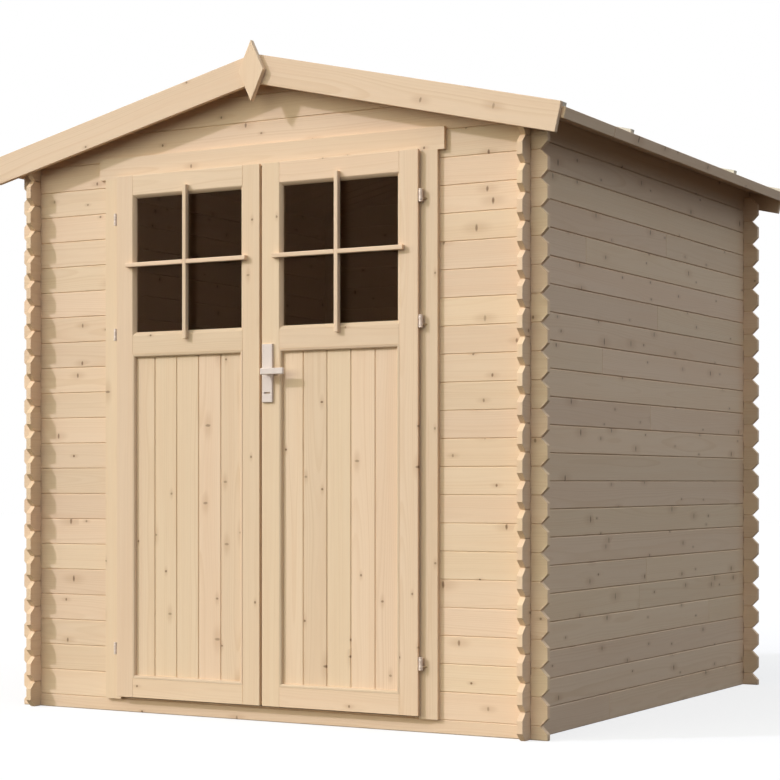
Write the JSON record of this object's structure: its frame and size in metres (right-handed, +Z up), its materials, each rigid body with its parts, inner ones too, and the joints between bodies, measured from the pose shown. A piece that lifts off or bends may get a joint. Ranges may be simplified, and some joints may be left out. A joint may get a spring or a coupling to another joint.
{
  "type": "wooden garden shed",
  "caption": "Small spruce garden shed with crossed-board corners, a low gable roof with a lozenge finial, and half-glazed double doors that swing outwards.",
  "frame": {"origin": "on the ground, at the middle of the shed's box in plan", "axes": "+Z up; the doors face -Y; +X is to the right as one faces the doors"},
  "size_m": [2.2168, 2.127, 2.2289],
  "materials": {
    "wall_wood": "planed raw spruce",
    "roof_wood": "planed raw spruce",
    "door_wood": "planed raw spruce",
    "window_glass": "clear",
    "hinge_metal": "bright zinc",
    "handle_metal": "satin"
  },
  "bodies": {
    "shed": {"front_sill": "wall_wood", "front_wall_left": "wall_wood", "front_wall_right": "wall_wood", "front_gable": "wall_wood", "left_wall": "wall_wood", "right_wall": "wall_wood", "back_wall": "wall_wood", "ridge_purlin": "roof_wood", "left_roof": "roof_wood", "right_roof": "roof_wood", "left_eave_strip": "roof_wood", "right_eave_strip": "roof_wood", "left_roof_battens": "roof_wood", "right_roof_battens": "roof_wood", "left_front_bargeboard": "roof_wood", "right_front_bargeboard": "roof_wood", "left_back_bargeboard": "roof_wood", "right_back_bargeboard": "roof_wood", "front_finial": "roof_wood", "back_finial": "roof_wood", "left_jamb": "door_wood", "right_jamb": "door_wood", "door_head": "door_wood", "door_header": "door_wood", "left_jamb_hinges": "hinge_metal", "right_jamb_hinges": "hinge_metal"},
    "left_door": {"left_door_stiles": "door_wood", "left_door_rails": "door_wood", "left_door_panel": "door_wood", "left_door_beads": "door_wood", "left_door_glass": "window_glass", "left_door_hinges": "hinge_metal"},
    "right_door": {"right_door_stiles": "door_wood", "right_door_rails": "door_wood", "right_door_panel": "door_wood", "right_door_beads": "door_wood", "right_door_glass": "window_glass", "right_door_hinges": "hinge_metal", "outer_handle_plate": "handle_metal", "inner_handle_plate": "handle_metal"},
    "handle": {"outer_lever": "handle_metal", "inner_lever": "handle_metal", "lever_spindle": "hinge_metal"}
  },
  "joints": [
    {"name": "left_door_hinge", "type": "hinge", "parent": "shed", "child": "left_door", "pos_m": [-0.596, -0.9985, 0.9], "axis": [0, 0, -1], "range_deg": [0, 165]},
    {"name": "right_door_hinge", "type": "hinge", "parent": "shed", "child": "right_door", "pos_m": [0.596, -0.9985, 0.9], "axis": [0, 0, 1], "range_deg": [0, 165]},
    {"name": "lever_turn", "type": "hinge", "parent": "right_door", "child": "handle", "pos_m": [0.03, -1.0035, 1.149], "axis": [0, 1, 0], "range_deg": [0, 40], "stiffness_Nm_per_rad": 1.5, "springref_deg": -17.19}
  ]
}
